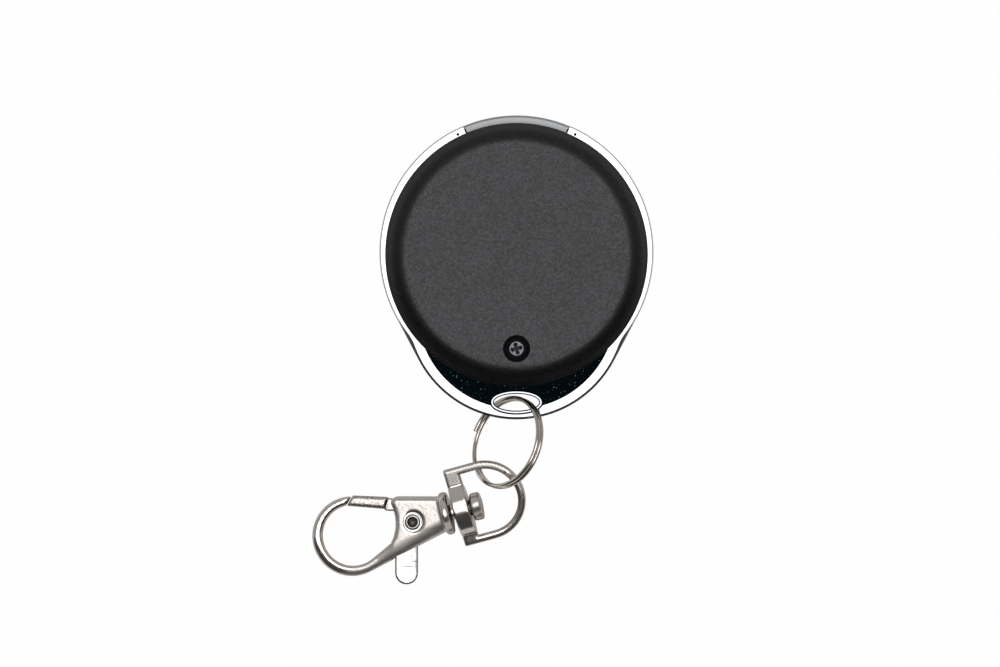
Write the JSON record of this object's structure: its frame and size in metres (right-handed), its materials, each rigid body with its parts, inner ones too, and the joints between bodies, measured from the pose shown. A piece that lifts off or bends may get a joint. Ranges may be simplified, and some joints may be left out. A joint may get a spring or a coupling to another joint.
{
  "type": "garage door remote key fob",
  "caption": "Round garage door remote with a chrome bezel, soft-touch back cover, push buttons, split ring and swivel snap hook.",
  "frame": {"origin": "middle of the round fob, on the plane that its front rim rests on", "axes": "+Z out of the back cover, +Y from the key ring's tongue towards the light window, +X to the right seen from behind the fob"},
  "size_m": [0.0604, 0.083, 0.0132],
  "materials": {
    "bezel_chrome": "mirror-bright chrome plating",
    "window_plastic": "satin grey translucent plastic",
    "cover_plastic": "black soft-touch paint, fine grain",
    "shell_plastic": "black moulded plastic, fine grain",
    "button_rubber": "dark grey moulded rubber",
    "plunger_plastic": "orange moulded plastic",
    "switch_plastic": "black moulded plastic with a tinned cap",
    "board_laminate": "green solder mask over laminate",
    "led_plastic": "clear yellowish resin on a white base",
    "cell_steel": "nickel-plated steel",
    "clip_steel": "tinned spring strip",
    "chip_epoxy": "black moulded epoxy with tinned legs",
    "can_metal": "drawn metal can",
    "coil_copper": "enamelled copper wire",
    "resistor_ceramic": "black glaze on ceramic, tinned ends",
    "capacitor_ceramic": "tan ceramic, tinned ends",
    "screw_steel": "plated steel",
    "ring_nickel": "nickel-plated spring wire",
    "cast_nickel": "nickel-plated zinc casting",
    "rivet_steel": "nickel-plated tubular rivet",
    "lever_nickel": "bright nickel-plated steel",
    "spring_steel": "hard-drawn spring wire"
  },
  "bodies": {
    "fob": {"chrome_bezel": "bezel_chrome", "light_window": "window_plastic", "back_cover": "cover_plastic", "front_shell": "shell_plastic", "switch_bodies": "switch_plastic", "circuit_board": "board_laminate", "status_led": "led_plastic", "coin_cell": "cell_steel", "battery_clip": "clip_steel", "battery_contact": "clip_steel", "encoder_chip": "chip_epoxy", "saw_resonator": "can_metal", "rf_transistor": "chip_epoxy", "tuning_coil": "coil_copper", "chip_resistors": "resistor_ceramic", "chip_capacitors": "capacitor_ceramic", "case_screw": "screw_steel"},
    "button_1": {"button_1": "button_rubber", "switch_plunger_1": "plunger_plastic"},
    "button_2": {"button_2": "button_rubber", "switch_plunger_2": "plunger_plastic"},
    "button_3": {"button_3": "button_rubber", "switch_plunger_3": "plunger_plastic"},
    "button_4": {"button_4": "button_rubber", "switch_plunger_4": "plunger_plastic"},
    "ring": {"split_ring": "ring_nickel"},
    "bail": {"swivel_bail": "cast_nickel"},
    "hook": {"hook_body": "cast_nickel", "gate_rivet": "rivet_steel", "gate_spring": "spring_steel"},
    "gate": {"gate_lever": "lever_nickel"}
  },
  "joints": [
    {"name": "button_1_press", "type": "slide", "parent": "fob", "child": "button_1", "axis": [0, 0, 1], "range_m": [0, 0.0003], "stiffness_N_per_m": 1500, "springref_m": -0.0006},
    {"name": "button_2_press", "type": "slide", "parent": "fob", "child": "button_2", "axis": [0, 0, 1], "range_m": [0, 0.0003], "stiffness_N_per_m": 1500, "springref_m": -0.0006},
    {"name": "button_3_press", "type": "slide", "parent": "fob", "child": "button_3", "axis": [0, 0, 1], "range_m": [0, 0.0003], "stiffness_N_per_m": 1500, "springref_m": -0.0006},
    {"name": "button_4_press", "type": "slide", "parent": "fob", "child": "button_4", "axis": [0, 0, 1], "range_m": [0, 0.0003], "stiffness_N_per_m": 1500, "springref_m": -0.0006},
    {"name": "ring_swing", "type": "hinge", "parent": "fob", "child": "ring", "pos_m": [0, -0.02885, 0.0056], "axis": [1, 0, 0], "range_deg": [-20, 10]},
    {"name": "bail_swing", "type": "hinge", "parent": "ring", "child": "bail", "pos_m": [-0.0045, -0.041, 0.0053], "axis": [0.6177, -0.247, 0.7466], "range_deg": [-40, 40]},
    {"name": "hook_swivel", "type": "hinge", "parent": "bail", "child": "hook", "pos_m": [-0.01232, -0.04622, 0.00382], "axis": [0.9665, 0.2303, 0.1132], "continuous": true},
    {"name": "gate_open", "type": "hinge", "parent": "hook", "child": "gate", "pos_m": [-0.01815, -0.04769, 0.00314], "axis": [-0.1101, -0.0262, 0.9936], "range_deg": [0, 26], "stiffness_Nm_per_rad": 0.004, "springref_deg": -17.19, "deforming": ["gate_spring"]}
  ]
}
